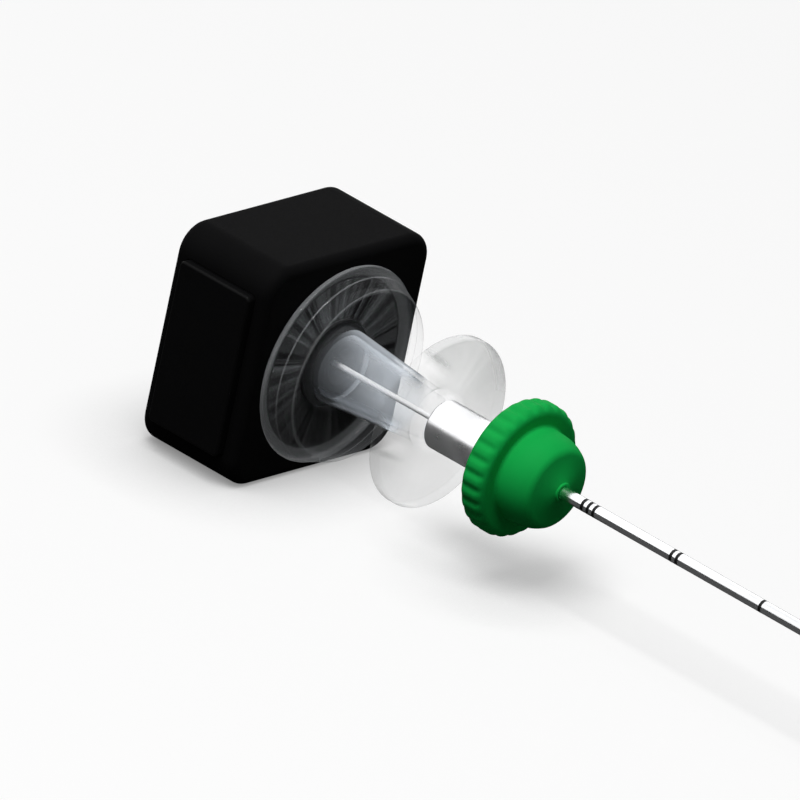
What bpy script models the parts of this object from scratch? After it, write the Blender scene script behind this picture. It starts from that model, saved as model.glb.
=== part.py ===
"""Biopsy needle with a square stylet handle, a clear spool hub and a sliding depth stop.

Sizes are in millimetres and become metres when a mesh is made. The needle's axis is the X axis
and its tip points to +X. The origin is the centre of the handle's flat back face. Three groups
move on that axis: the stylet slides out backwards, the stop's collet slides along the cannula,
and the stop's knob turns on the collet.
"""
import math

import bmesh
import bpy
from mathutils import Matrix, Vector

MM = 0.001

# Handle: a hollow square moulding with a grip pad on each side and a cover at the back
handle_side = 20.54
handle_depth = 10.98
handle_corner_radius = 2.66
handle_edge_round = 0.85
handle_wall = 2.2
handle_front_wall = 2.0
cover_thickness = 1.5
cover_inset = 1.5
cover_clearance = 0.12
cover_lip_height = 1.4
cover_lip_wall = 0.9
pad_length = 15.1
pad_width = 8.1
pad_proud = 0.8
pad_pocket_depth = 0.6
pad_corner_radius = 0.45
pad_edge_round = 0.22
pad_clearance = 0.08

# Boss inside the handle, and the spigot on its front that centres the hub
boss_radius = 3.1
boss_length = 5.4
spigot_radius = 2.72
spigot_length = 1.2
spigot_chamfer = 0.25

# Stylet: a solid steel rod that is held in the handle by a brass anchor
rod_diameter = 0.5
rod_overhang = 2.2
rod_point_length = 1.5
rod_hole_clearance = 0.1
anchor_diameter = 3.0
anchor_length = 3.4
anchor_flange_diameter = 4.0
anchor_flange_thickness = 0.8
anchor_edge = 0.15
anchor_clearance = 0.08
anchor_bore_clearance = 0.05
plug_thickness = 0.9

# Clear hub: a dished flange at the handle, a hollow cone, and a bell flange at the barrel
washer_thickness = 0.45
washer_outer_diameter = 7.9
washer_clearance = 0.12
hub_seat_gap = 0.06
flange_diameter = 18.24
flange_lip_diameter = 16.0
flange_lip_height = 3.06
flange_lip_wall = 0.42
flange_lip_draft = 0.08
flange_floor_thickness = 1.05
flange_floor_fillet = 0.8
flange_rim_height = 0.57
flange_rim_round = 0.4
flange_bore_clearance = 0.05
hub_base_diameter = 6.82
hub_base_height = 1.2
hub_nose_diameter = 5.0
hub_wall = 0.5
bell_diameter = 15.68
bell_place = 12.95
bell_thickness = 1.1
bell_edge_round = 0.2
bell_web_thickness = 0.7
bell_fillet = 1.1
spud_diameter = 3.2
spud_length = 3.2
spud_bore = 1.4

# Steel barrel between the hub and the stop, with what it holds inside
barrel_diameter = 4.5
barrel_place = 12.9
barrel_length = 8.75
barrel_chamfer = 0.15
barrel_bore = 2.4
barrel_socket_clearance = 0.06
barrel_fit_clearance = 0.05
funnel_length = 1.2
funnel_mouth = 1.6
inner_gap = 0.08

# Cannula
cannula_diameter = 1.14
cannula_bore = 0.66
cannula_tip_place = 60.4
cannula_taper_length = 1.6
cannula_tip_wall = 0.07

# Depth stop: a knurled knob with a domed nose, on a slotted collet
knob_place = 20.6
knob_diameter = 12.26
knob_rim_width = 2.57
knob_back_round = 0.35
knob_front_round = 0.86
knob_scallops = 28
knob_scallop_depth = 0.12
nose_diameter = 8.72
nose_straight = 0.9
nose_round_length = 3.25
nose_round_height = 2.64
nose_fillet = 0.3
exit_dimple_diameter = 1.9
exit_dimple_depth = 0.18
knob_counterbore_clearance = 0.2
knob_seat_gap = 0.4
retainer_thickness = 0.65
retainer_clearance = 0.06
collet_diameter = 3.9
collet_barrel_length = 1.6
collet_taper_length = 2.0
collet_nose_diameter = 2.2
collet_clearance = 0.12
collet_bore_clearance = 0.03
collet_slots = 4
collet_slot_width = 0.32
running_clearance = 0.06

# How far a cutter runs past the face that it cuts
overcut = 1.0

# Facets around each kind of round piece
KNOB_STEPS = 4 * knob_scallops
ROUND_STEPS = 48
SMALL_STEPS = 32
TINY_STEPS = 16
ARC_STEPS = 5


def clear_scene():
    """Remove every object of the open scene."""
    for old in list(bpy.data.objects):
        bpy.data.objects.remove(old, do_unlink=True)


def make_material(name, colour, roughness, metallic=0.0, alpha=1.0):
    """Return a plain Principled material."""
    material = bpy.data.materials.new(name)
    material.use_nodes = True
    shader = material.node_tree.nodes["Principled BSDF"]
    shader.inputs["Base Color"].default_value = (*colour, 1.0)
    shader.inputs["Roughness"].default_value = roughness
    shader.inputs["Metallic"].default_value = metallic
    shader.inputs["Alpha"].default_value = alpha
    material.diffuse_color = (*colour, alpha)
    return material


def add_object(name, bm, material=None, parent=None):
    """Turn a bmesh that is in millimetres into an object, shaded smooth with crisp edges."""
    bmesh.ops.scale(bm, vec=(MM, MM, MM), verts=bm.verts)
    bmesh.ops.recalc_face_normals(bm, faces=bm.faces)
    mesh = bpy.data.meshes.new(name)
    bm.to_mesh(mesh)
    bm.free()
    mesh.shade_smooth()
    mesh.set_sharp_from_angle(angle=math.radians(35))
    made = bpy.data.objects.new(name, mesh)
    bpy.context.scene.collection.objects.link(made)
    if material:
        mesh.materials.append(material)
    hang_on(made, parent)
    return made


def hang_on(piece, parent):
    """Parent a piece to an empty and leave the piece where it is."""
    if parent:
        piece.parent = parent
        piece.matrix_parent_inverse = parent.matrix_world.inverted()


def add_empty(name, place):
    """Make the empty that carries one moving group, on the needle's axis."""
    empty = bpy.data.objects.new(name, None)
    empty.empty_display_size = 5 * MM
    empty.location.x = place * MM
    bpy.context.scene.collection.objects.link(empty)
    bpy.context.view_layer.update()
    return empty


def arc(centre, radius, start, end, steps=ARC_STEPS, stretch=1.0):
    """Points of an arc in the (x, r) half plane, angles in degrees from +X, stretched along X."""
    points = []
    for step in range(steps + 1):
        angle = math.radians(start + (end - start) * step / steps)
        points.append((centre[0] + stretch * radius * math.cos(angle), centre[1] + radius * math.sin(angle)))
    return points


def turned(outline, segments=ROUND_STEPS):
    """Spin a closed outline of (x, r) points about the X axis."""
    bm = bmesh.new()
    ring = [bm.verts.new((x, 0.0, r)) for x, r in outline]
    for first, second in zip(ring, ring[1:] + ring[:1]):
        bm.edges.new((first, second))
    bmesh.ops.spin(bm, geom=bm.verts[:] + bm.edges[:], cent=(0, 0, 0), axis=(1, 0, 0),
                   angle=2 * math.pi, steps=segments, use_merge=True)
    bmesh.ops.remove_doubles(bm, verts=bm.verts, dist=0.0005)
    bmesh.ops.dissolve_degenerate(bm, edges=bm.edges, dist=0.0001)
    return bm


def rounded_rectangle(width, height, radius, steps=ARC_STEPS):
    """Corner points of a rounded rectangle, counterclockwise."""
    points = []
    corners = ((1, 1, 0), (-1, 1, 90), (-1, -1, 180), (1, -1, 270))
    for side_u, side_v, start in corners:
        centre = (side_u * (width / 2 - radius), side_v * (height / 2 - radius))
        points.extend(arc(centre, radius, start, start + 90, steps))
    return points


def prism(outline, start, end, across="X"):
    """Extrude a flat outline along X, or along Y, from start to end."""
    bm = bmesh.new()
    if across == "X":
        corners = [bm.verts.new((start, u, v)) for u, v in outline]
        travel = Vector((end - start, 0, 0))
    else:
        corners = [bm.verts.new((u, start, v)) for u, v in outline]
        travel = Vector((0, end - start, 0))
    face = bm.faces.new(corners)
    raised = bmesh.ops.extrude_face_region(bm, geom=[face])
    moved = [item for item in raised["geom"] if isinstance(item, bmesh.types.BMVert)]
    bmesh.ops.translate(bm, verts=moved, vec=travel)
    return bm


def round_edges(target, width, segments=3):
    """Round the square edges of an object, leaving its corner arcs alone."""
    bevel = target.modifiers.new("edge_round", "BEVEL")
    bevel.width = width * MM
    bevel.segments = segments
    bevel.limit_method = "ANGLE"
    bevel.angle_limit = math.radians(60)


def combine(target, tool, operation):
    """Cut a hidden tool object out of the target, or join it on."""
    tool.hide_render = True
    tool.display_type = "WIRE"
    hang_on(tool, target.parent)
    boolean = target.modifiers.new(tool.name, "BOOLEAN")
    boolean.operation = operation
    boolean.object = tool
    boolean.solver = "EXACT"


def pad_outline(grow=0.0):
    """Outline of a grip pad, or of its pocket, centred on the handle's side."""
    outline = rounded_rectangle(pad_width + 2 * grow, pad_length + 2 * grow, pad_corner_radius + grow, 3)
    return [(u + handle_depth / 2, v) for u, v in outline]


def handle_shell(material, parent):
    """Square moulding, open at the back, with its boss, spigot, cover rebate and pad pockets."""
    half = handle_side / 2
    block = prism(rounded_rectangle(handle_side, handle_side, handle_corner_radius), 0, handle_depth)
    shell = add_object("handle_shell", block, material, parent)
    round_edges(shell, handle_edge_round)

    cavity_side = handle_side - 2 * handle_wall
    cavity_corner = handle_corner_radius - handle_wall / 2
    cavity = prism(rounded_rectangle(cavity_side, cavity_side, cavity_corner),
                   cover_thickness / 2, handle_depth - handle_front_wall)
    combine(shell, add_object("cavity_cut", cavity), "DIFFERENCE")

    rebate_side = handle_side - 2 * cover_inset
    rebate = prism(rounded_rectangle(rebate_side, rebate_side, handle_corner_radius - cover_inset / 2),
                   -overcut, cover_thickness)
    combine(shell, add_object("rebate_cut", rebate), "DIFFERENCE")

    back = handle_depth - handle_front_wall - boss_length
    front = handle_depth + spigot_length
    core = turned([(back, 0), (back, boss_radius), (handle_depth - handle_front_wall / 2, boss_radius),
                   (handle_depth - handle_front_wall / 2, spigot_radius),
                   (front - spigot_chamfer, spigot_radius), (front, spigot_radius - spigot_chamfer),
                   (front, 0)])
    combine(shell, add_object("core_join", core), "UNION")

    flange_room = anchor_flange_diameter / 2 + anchor_clearance
    anchor_room = anchor_diameter / 2 + anchor_clearance
    rod_room = rod_diameter / 2 + rod_hole_clearance
    flange_floor = back + plug_thickness + anchor_flange_thickness
    anchor_floor = flange_floor + anchor_length - anchor_flange_thickness + anchor_clearance
    bore = turned([(back - overcut, 0), (back - overcut, flange_room), (flange_floor, flange_room),
                   (flange_floor, anchor_room), (anchor_floor, anchor_room), (anchor_floor, rod_room),
                   (front + overcut, rod_room), (front + overcut, 0)], SMALL_STEPS)
    combine(shell, add_object("anchor_cut", bore), "DIFFERENCE")

    for name, side in (("left", -1), ("right", 1)):
        floor = side * (half - pad_pocket_depth)
        pocket = prism(pad_outline(pad_clearance), floor, side * (half + overcut), across="Y")
        combine(shell, add_object("pocket_cut_" + name, pocket), "DIFFERENCE")
    return shell


def handle_cover(material, parent):
    """Flat cover that fills the rebate at the back, with a lip that grips the cavity's walls."""
    side = handle_side - 2 * cover_inset - 2 * cover_clearance
    plate = prism(rounded_rectangle(side, side, handle_corner_radius - cover_inset / 2 - cover_clearance),
                  0, cover_thickness - cover_clearance / 2)
    cover = add_object("handle_cover", plate, material, parent)
    lip_side = handle_side - 2 * handle_wall - 2 * cover_clearance
    lip_corner = handle_corner_radius - handle_wall / 2 - cover_clearance
    lip = prism(rounded_rectangle(lip_side, lip_side, lip_corner),
                cover_thickness / 2, cover_thickness + cover_lip_height)
    combine(cover, add_object("lip_join", lip), "UNION")
    inner_side = lip_side - 2 * cover_lip_wall
    inner = prism(rounded_rectangle(inner_side, inner_side, lip_corner - cover_lip_wall),
                  cover_thickness - cover_clearance / 2, cover_thickness + cover_lip_height + overcut)
    combine(cover, add_object("lip_cut", inner), "DIFFERENCE")
    return cover


def grip_pads(material, parent):
    """A raised pad in the pocket on each side of the handle."""
    half = handle_side / 2
    for name, side in (("left", -1), ("right", 1)):
        inner = side * (half - pad_pocket_depth)
        outer = side * (half + pad_proud)
        pad = add_object("grip_pad_" + name, prism(pad_outline(), inner, outer, across="Y"), material, parent)
        round_edges(pad, pad_edge_round, 2)


def stylet_pieces(brass, white, steel, rubber, parent):
    """Anchor, plug, rod and seat washer."""
    back = handle_depth - handle_front_wall - boss_length
    flange = back + plug_thickness
    bore = rod_diameter / 2 + anchor_bore_clearance
    body = anchor_diameter / 2
    edge = anchor_edge
    anchor = [(flange + inner_gap, bore), (flange + inner_gap, anchor_flange_diameter / 2),
              (flange + anchor_flange_thickness, anchor_flange_diameter / 2),
              (flange + anchor_flange_thickness, body), (flange + anchor_length - edge, body),
              (flange + anchor_length, body - edge), (flange + anchor_length, bore)]
    add_object("stylet_anchor", turned(anchor, SMALL_STEPS), brass, parent)

    plug_radius = anchor_flange_diameter / 2
    plug = [(back + edge, 0), (back + edge, plug_radius / 2), (back, plug_radius / 2 + edge),
            (back, plug_radius - edge), (back + edge, plug_radius), (flange, plug_radius), (flange, 0)]
    add_object("anchor_plug", turned(plug, SMALL_STEPS), white, parent)

    rod_end = handle_depth + cannula_tip_place + rod_overhang
    rod_start = flange + 2 * inner_gap
    rod_radius = rod_diameter / 2
    rod = turned([(rod_start, 0), (rod_start, rod_radius), (rod_end, rod_radius), (rod_end, 0)], TINY_STEPS)
    for facet in range(3):
        turn = Matrix.Rotation(math.radians(120 * facet), 4, "X")
        slope = turn @ Vector((rod_radius, 0, rod_point_length)).normalized()
        geometry = rod.verts[:] + rod.edges[:] + rod.faces[:]
        cut = bmesh.ops.bisect_plane(rod, geom=geometry, plane_co=(rod_end, 0, 0), plane_no=slope,
                                     clear_outer=True)
        rim = [item for item in cut["geom_cut"] if isinstance(item, bmesh.types.BMEdge)]
        bmesh.ops.holes_fill(rod, edges=rim)
    add_object("stylet_rod", rod, steel, parent)

    inner = spigot_radius + washer_clearance
    outer = washer_outer_diameter / 2
    washer = [(handle_depth, inner), (handle_depth, outer),
              (handle_depth + washer_thickness - hub_seat_gap, outer),
              (handle_depth + washer_thickness - hub_seat_gap, inner)]
    add_object("seat_washer", turned(washer), rubber, parent)


def hub_flange(material):
    """Clear dished ring round the hub's base, with a lip that stands forward."""
    bore = hub_base_diameter / 2 + flange_bore_clearance
    rim = flange_diameter / 2
    step = washer_outer_diameter / 2 + washer_clearance
    floor = flange_floor_thickness + hub_seat_gap
    lip_outer = flange_lip_diameter / 2 + flange_lip_draft
    lip_inner = lip_outer - flange_lip_wall
    lip_end = flange_lip_height - flange_lip_wall / 2
    foot = lip_inner - flange_lip_draft

    outline = [(washer_thickness, bore), (washer_thickness, step), (hub_seat_gap, step)]
    outline += arc((hub_seat_gap + flange_rim_round, rim - flange_rim_round), flange_rim_round, 180, 90, 3)
    outline += [(flange_rim_height, rim - flange_lip_draft / 4), (lip_end, lip_outer)]
    outline += arc((lip_end, (lip_outer + lip_inner) / 2), flange_lip_wall / 2, 90, -90, 4)[1:]
    outline += arc((floor + flange_floor_fillet, foot - flange_floor_fillet), flange_floor_fillet, 90, 180, 3)
    outline += [(floor, bore)]
    add_object("hub_flange", turned([(handle_depth + x, r) for x, r in outline]), material)


def hub_body(material):
    """Clear hollow cone with the bell flange at its front and a spud that enters the barrel."""
    base = hub_base_diameter / 2
    nose = hub_nose_diameter / 2
    rim = bell_diameter / 2
    web_front = barrel_place - inner_gap
    web_back = web_front - bell_web_thickness
    bell_back = bell_place - bell_thickness
    spud = spud_diameter / 2
    spud_end = barrel_place + spud_length
    edge = bell_edge_round

    outline = [(washer_thickness, base), (hub_base_height, base), (web_back - bell_fillet, nose)]
    outline += arc((web_back - bell_fillet, nose + bell_fillet), bell_fillet, -90, 0)[1:]
    outline += arc((bell_back + edge, rim - edge), edge, 180, 90, 2)
    outline += arc((bell_place - edge, rim - edge), edge, 90, 0, 2)
    outline += [(web_front, nose), (web_front, spud), (spud_end - barrel_chamfer, spud),
                (spud_end, spud - barrel_chamfer), (spud_end, spud_bore / 2), (web_back, spud_bore / 2),
                (web_back - hub_wall, nose - hub_wall), (hub_base_height, base - hub_wall),
                (washer_thickness, base - hub_wall)]
    add_object("hub_body", turned([(handle_depth + x, r) for x, r in outline]), material)


def barrel_pieces(polished, white, brass, steel):
    """Barrel with the guide funnel and the bush inside, and the cannula that the bush holds."""
    back = handle_depth + barrel_place
    front = back + barrel_length
    outer = barrel_diameter / 2
    socket = spud_diameter / 2 + barrel_socket_clearance
    bore = barrel_bore / 2
    socket_end = back + spud_length + inner_gap
    barrel = [(back, socket), (back, outer - barrel_chamfer), (back + barrel_chamfer, outer),
              (front - barrel_chamfer, outer), (front, outer - barrel_chamfer), (front, bore),
              (socket_end, bore), (socket_end, socket)]
    add_object("barrel", turned(barrel), polished)

    fitted = bore - barrel_fit_clearance
    rod_room = cannula_bore / 2
    funnel_start = socket_end + inner_gap
    funnel_end = funnel_start + funnel_length
    funnel = [(funnel_start, funnel_mouth / 2), (funnel_start, fitted), (funnel_end, fitted),
              (funnel_end, rod_room), (funnel_end - funnel_length / 4, rod_room)]
    add_object("guide_funnel", turned(funnel, SMALL_STEPS), brass)

    tube = cannula_diameter / 2
    bush_start = funnel_end + inner_gap
    bush = [(bush_start, tube + barrel_fit_clearance), (bush_start, fitted), (front - inner_gap, fitted),
            (front - inner_gap, tube + barrel_fit_clearance)]
    add_object("barrel_bush", turned(bush, SMALL_STEPS), white)

    tip = handle_depth + cannula_tip_place
    cannula = [(bush_start, rod_room), (bush_start, tube), (tip - cannula_taper_length, tube),
               (tip, rod_room + cannula_tip_wall), (tip, rod_room)]
    add_object("cannula", turned(cannula, SMALL_STEPS), steel)


def scallop_rim(knob, rim):
    """Sink soft scallops into the knob's rim, fading out below it."""
    grip_floor = rim - 3 * knob_scallop_depth
    for vert in knob.verts:
        radius = math.hypot(vert.co.y, vert.co.z)
        if radius > grip_floor:
            share = min((radius - grip_floor) / (rim - grip_floor), 1.0)
            angle = math.atan2(vert.co.z, vert.co.y)
            sink = share * knob_scallop_depth * (1 - math.cos(knob_scallops * angle)) / 2
            vert.co.y *= 1 - sink / radius
            vert.co.z *= 1 - sink / radius


def stop_pieces(green, white, steel, knob_parent, collet_parent):
    """Knurled knob, the retainer pressed into its back, and the slotted collet that it turns on."""
    back = handle_depth + knob_place
    barrel_front = handle_depth + barrel_place + barrel_length
    rim = knob_diameter / 2
    counterbore = barrel_diameter / 2 + knob_counterbore_clearance
    retainer_start = barrel_front + knob_seat_gap
    retainer_end = retainer_start + retainer_thickness
    collet_start = retainer_end + collet_clearance
    collet_shoulder = collet_start + collet_barrel_length
    collet_end = collet_shoulder + collet_taper_length
    room = collet_diameter / 2 + collet_clearance
    nose_room = collet_nose_diameter / 2 + collet_clearance
    exit_bore = cannula_diameter / 2 + running_clearance

    nose = nose_diameter / 2
    rim_front = back + knob_rim_width
    round_start = rim_front + nose_straight
    front = round_start + nose_round_length
    outline = [(back, 0.0)]
    outline += arc((back + knob_back_round, rim - knob_back_round), knob_back_round, 180, 90, 2)
    outline += arc((rim_front - knob_front_round, rim - knob_front_round), knob_front_round, 90, 0, 4)
    outline += arc((rim_front + nose_fillet, nose + nose_fillet), nose_fillet, 180, 270, 2)
    outline += arc((round_start, nose - nose_round_height), nose_round_height, 90, 0, 7,
                   nose_round_length / nose_round_height)
    outline += [(front, exit_dimple_diameter / 2), (front - exit_dimple_depth, 0.0)]
    knob = turned(outline, KNOB_STEPS)
    scallop_rim(knob, rim)
    knob = add_object("stop_knob", knob, green, knob_parent)
    room_end = collet_end + collet_clearance
    inside = turned([(back - overcut, 0), (back - overcut, counterbore), (retainer_end, counterbore),
                     (retainer_end, room), (collet_shoulder, room), (room_end, nose_room),
                     (room_end, exit_bore), (front + overcut, exit_bore), (front + overcut, 0)], SMALL_STEPS)
    combine(knob, add_object("knob_cut", inside), "DIFFERENCE")

    retainer_outer = counterbore - retainer_clearance
    retainer_inner = exit_bore + running_clearance
    retainer = [(retainer_start, retainer_inner), (retainer_start, retainer_outer),
                (retainer_end - inner_gap / 2, retainer_outer), (retainer_end - inner_gap / 2, retainer_inner)]
    add_object("stop_retainer", turned(retainer, SMALL_STEPS), steel, knob_parent)

    collet_bore = cannula_diameter / 2 + collet_bore_clearance
    collet_outline = [(collet_start, collet_bore), (collet_start, collet_diameter / 2),
                      (collet_shoulder, collet_diameter / 2), (collet_end, collet_nose_diameter / 2),
                      (collet_end, collet_bore)]
    collet = add_object("stop_collet", turned(collet_outline, SMALL_STEPS), white, collet_parent)
    for slot in range(collet_slots // 2):
        half_slot = collet_slot_width / 2
        reach = collet_diameter
        sheet = rounded_rectangle(2 * reach, collet_slot_width, half_slot / 2, 1)
        blade = prism(sheet, collet_shoulder - collet_barrel_length / 2, collet_end + overcut)
        bmesh.ops.rotate(blade, cent=(0, 0, 0), matrix=Matrix.Rotation(math.pi * slot / 2, 3, "X"),
                         verts=blade.verts)
        combine(collet, add_object("slot_cut_%d" % slot, blade), "DIFFERENCE")


def main():
    clear_scene()
    black = make_material("black_plastic", (0.012, 0.012, 0.013), 0.45)
    pad_black = make_material("pad_black", (0.010, 0.010, 0.011), 0.6)
    clear = make_material("clear_plastic", (0.9, 0.92, 0.95), 0.03, alpha=0.3)
    steel = make_material("brushed_steel", (0.72, 0.73, 0.75), 0.25, 1.0)
    polished = make_material("polished_steel", (0.8, 0.8, 0.82), 0.1, 1.0)
    brass = make_material("brass", (0.72, 0.53, 0.25), 0.3, 1.0)
    white = make_material("white_plastic", (0.85, 0.85, 0.83), 0.5)
    rubber = make_material("black_rubber", (0.02, 0.02, 0.02), 0.8)
    green = make_material("green_plastic", (0.009, 0.387, 0.078), 0.4)

    stylet = add_empty("stylet_slide", handle_depth)
    collet = add_empty("stop_slide", handle_depth + knob_place)
    knob = add_empty("stop_turn", handle_depth + knob_place)
    hang_on(knob, collet)
    bpy.context.view_layer.update()

    handle_shell(black, stylet)
    handle_cover(black, stylet)
    grip_pads(pad_black, stylet)
    stylet_pieces(brass, white, steel, rubber, stylet)
    hub_flange(clear)
    hub_body(clear)
    barrel_pieces(polished, white, brass, steel)
    stop_pieces(green, white, steel, knob, collet)


main()
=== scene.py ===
"""The looks of the biopsy needle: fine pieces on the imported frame, their finishes, the light and the camera.

Sizes are in millimetres and become metres when a mesh is made. Angles are in degrees. As in the frame,
the needle's axis is the X axis and its tip points to +X. Named places along the needle count from the
handle's front face.
"""

import math

import bmesh
import bpy
from mathutils import Matrix, Vector


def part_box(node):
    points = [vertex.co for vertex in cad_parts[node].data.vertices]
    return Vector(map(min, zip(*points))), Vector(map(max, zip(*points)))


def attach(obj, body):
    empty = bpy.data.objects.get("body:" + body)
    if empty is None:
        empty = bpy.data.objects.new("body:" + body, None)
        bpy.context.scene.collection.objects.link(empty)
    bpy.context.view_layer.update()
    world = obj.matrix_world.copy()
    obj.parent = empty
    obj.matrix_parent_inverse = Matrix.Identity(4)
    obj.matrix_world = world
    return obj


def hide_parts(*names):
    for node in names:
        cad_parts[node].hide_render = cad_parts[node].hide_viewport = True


MM = 0.001
LOW, HIGH = 0, 1

# The photograph's view: a long lens, so that it is nearly parallel. The clip range is in metres
view_azimuth = 38.0
view_elevation = 24.0
view_roll = 12.0
view_target = (14.70, 5.45, -3.08)
view_width = 67.85
lens_length = 1500.0
sensor_width = 36.0
clip_range = (0.1, 10.0)

# Light, as shares of a plain level at which a colour renders about as it is written
key_direction = (0.05, -0.35, 0.93)
key_distance = 1500.0
key_size = 830.0
key_level = 0.86
sky_level = 0.12
backdrop_level = 1.0
floor_glow = 0.54
floor_shade = 0.50
floor_bounce = 0.05
floor_size = 3000.0
# Painted contact shadow on the floor, from ambient occlusion: its reach, depth and samples
contact_reach = 10.0
painted_contact_shadow_depth = 0.62
contact_samples = 8

# Tray and card that only reflections see: a painted dark reflection and a painted bright reflection
tray_level = 0.09
tray_hole = 0.01
tray_radius = 150.0
tray_rim = 5.0
tray_slope = 10.0
tray_lift = 0.05
card_level = 1.5
card_distance = 220.0
card_size = 900.0
card_bottom = 10.0

# Handle, its cover and its pads
handle_corner = 2.66
handle_round = 0.85
cut_past = 1.0
pad_sides = (("left", -1), ("right", 1))
pocket_gap = 0.08
pad_corner = 0.45
pad_round = 0.22
cover_seam = 0.12
cover_corner = 1.79
cover_rebate = 1.5
cover_gap = 0.1

# Spigot on the handle's front, dished round the rod, and the washer on it
spigot_radius = 2.72
spigot_chamfer = 0.25
spigot_root = 0.3
rod_hole = 0.28
dish_radius = 1.7
dish_floor = 0.05
dish_foot = 0.1
washer_clearance = 0.12
washer_round = 0.06

# Clear dished flange
washer_room = 4.07
washer_level = 0.45
flange_bore = 3.46
flange_floor = 1.11
flange_fillet = 0.8
rim_round = 0.4
rim_height = 0.57
rim_step = 0.02
rim_step_round = 0.15
rim_step_end = 20
lip_radius = 8.08
lip_wall = 0.42
lip_foot = 0.08
lip_lean = 66

# Clear hub: the cone, the bell flange and the spud. The bell has a pinch on each side of a clearer sector
cone_base = 3.41
cone_start = 1.2
cone_nose = 2.5
cone_wall = 0.5
web_thickness = 0.7
bell_fillet = 1.1
bell_fillet_end = -4
bell_back = 11.85
bell_front = 12.95
bell_round = 0.2
pinch_middle = 150.5
pinch_half = 37.5
pinch_lean = 17.3
pinch_reach = 5.47
spud_radius = 1.6
spud_bore = 0.7

# Barrel, cannula and rod
barrel_edge = 0.15
barrel_gap = 0.08
barrel_socket = 1.66
barrel_bore = 1.2
cannula_bore = 0.33
cannula_taper = 1.6
cannula_tip_wall = 0.07
ring_places = (29.74, 30.40, 31.06, 40.07, 40.73, 50.4)
ring_width = 0.3
ring_sink = 0.02
ring_proud = 0.006
rod_facets = 3
rod_point = 1.5

# Knob's rim and its scallops
knob_rim_width = 2.57
knob_rim_round = 0.86
knob_scallops = 28
knob_scallop_depth = 0.15
knob_scallop_fade = 3
knob_valley_power = 1.5

# Knob's nose, with the collar round the cannula, and the room inside
nose_radius = 4.30
nose_start = 0.16
nose_length = 3.15
nose_edge_radius = 3.52
nose_power = 2.9
nose_fillet = 0.3
nose_tip = 3.80
nose_front_start = 0.15
collar_radius = 0.86
collar_height = 0.2
collar_fillet = 0.12
collar_fillet_start = 200
collar_round = 0.08
exit_hole = 0.63
exit_chamfer = 0.05
counterbore = 2.45
counterbore_depth = 2.1
collet_clearance = 0.12
collet_room = 1.7
seat_radius = 1.1
seat_wall = 1.2
retainer_gap = 0.06
retainer_round = 0.05

# Facets around round pieces, and steps in arcs and curves
ROUND = 192
KNURL = 16 * knob_scallops
SMALL = 64
ARC_STEPS = 10
RIM_STEPS = 12
FILLET_STEPS = 8
BELL_STEPS = 6
EDGE_STEPS = 4
NOSE_STEPS = 32
NOSE_CORNER_STEPS = 4

# Mesh clean-up distances, and the angles in degrees from which an edge is crisp
merge_distance = 0.0005
tiny_edge = 0.0001
crisp_angle = 30
crisp_solid_angle = 40
bevel_angle = 60

# Tones of each finish: the two colours between which it varies
black_tones = ((0.0038, 0.0038, 0.0040), (0.0052, 0.0052, 0.0055))
pad_tones = ((0.0024, 0.0024, 0.0026), (0.0036, 0.0036, 0.0038))
rubber_tones = ((0.004, 0.004, 0.004), (0.006, 0.006, 0.006))
ink_tones = ((0.002, 0.002, 0.002), (0.004, 0.004, 0.004))
green_tones = ((0.0080, 0.41, 0.072), (0.0092, 0.46, 0.084))
flange_tones = ((0.80, 0.83, 0.86), (0.90, 0.92, 0.94))
cone_tones = ((0.82, 0.89, 0.98), (0.88, 0.94, 1.00))
bell_tones = ((0.84, 0.85, 0.86), (0.96, 0.97, 0.98))
drawn_tones = ((0.80, 0.81, 0.83), (0.93, 0.94, 0.95))
polished_tones = ((0.88, 0.88, 0.90), (0.95, 0.95, 0.96))
bright_tones = ((0.96, 0.97, 0.98), (1.00, 1.00, 1.00))
nylon_tones = ((0.74, 0.74, 0.72), (0.82, 0.82, 0.80))
brass_tones = ((0.62, 0.45, 0.18), (0.75, 0.56, 0.26))

# What most of a noise texture's values lie between, ranges of roughness, and how far a roughness varies
noise_range = (0.3, 0.7)
clear_roughness = (0.06, 0.14)
green_roughness = (0.50, 0.60)
black_spread = 0.06
steel_spread = 0.1
plain_spread = (-0.05, 0.08)
line_stretch = (0.06, 1.0, 1.0)

# How many clear layers a ray passes
clear_layers = 32

# Cover of the clear flange, from 0 for invisible to 1 for solid. Its streaks are painted reflection streaks
# and its lines painted highlight lines. A streak layer is the scale of its cells, the value above which a cell
# is a streak, and the streak's cover. A line is its middle, width and cover.
# A glow is its power and its cover where the surface is seen edge on. A name that ends in soft is the
# width over which a cover comes or goes
streak_layers = ((2.6, 0.48, 0.065), (9.0, 0.54, 0.080), (26.0, 0.62, 0.120))
streak_soft = 0.02
streak_least = 0.012
# Streaks fainter towards the bottom: painted shade, as of light from above
streak_shade_heights = (-0.8, 0.1)
streak_shaded_share = 0.3
streak_radius = 7.85
streak_start_soft = 0.03
streak_end_soft = 0.05
streak_rim_cover = 0.06
back_face_depth = (0.15, 0.3)
washer_covers = (0.035, 0.006)
washer_soft = 0.05
rim_soft = 0.1
# Bright lines round the rim, at its root and at the end of its lip: painted highlights
rim_highlight_line = (1.7, 0.2, 0.20)
rim_root = (0.55, 0.75)
rim_root_highlight = 0.18
lip_line = (2.95, 3.0)
lip_line_inside = (0.22, 0.12)
lip_line_highlight = 0.16
wall_radii = (7.4, 7.9)
wall_least_share = 0.1
wall_glow = (4.0, 0.45)

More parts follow.
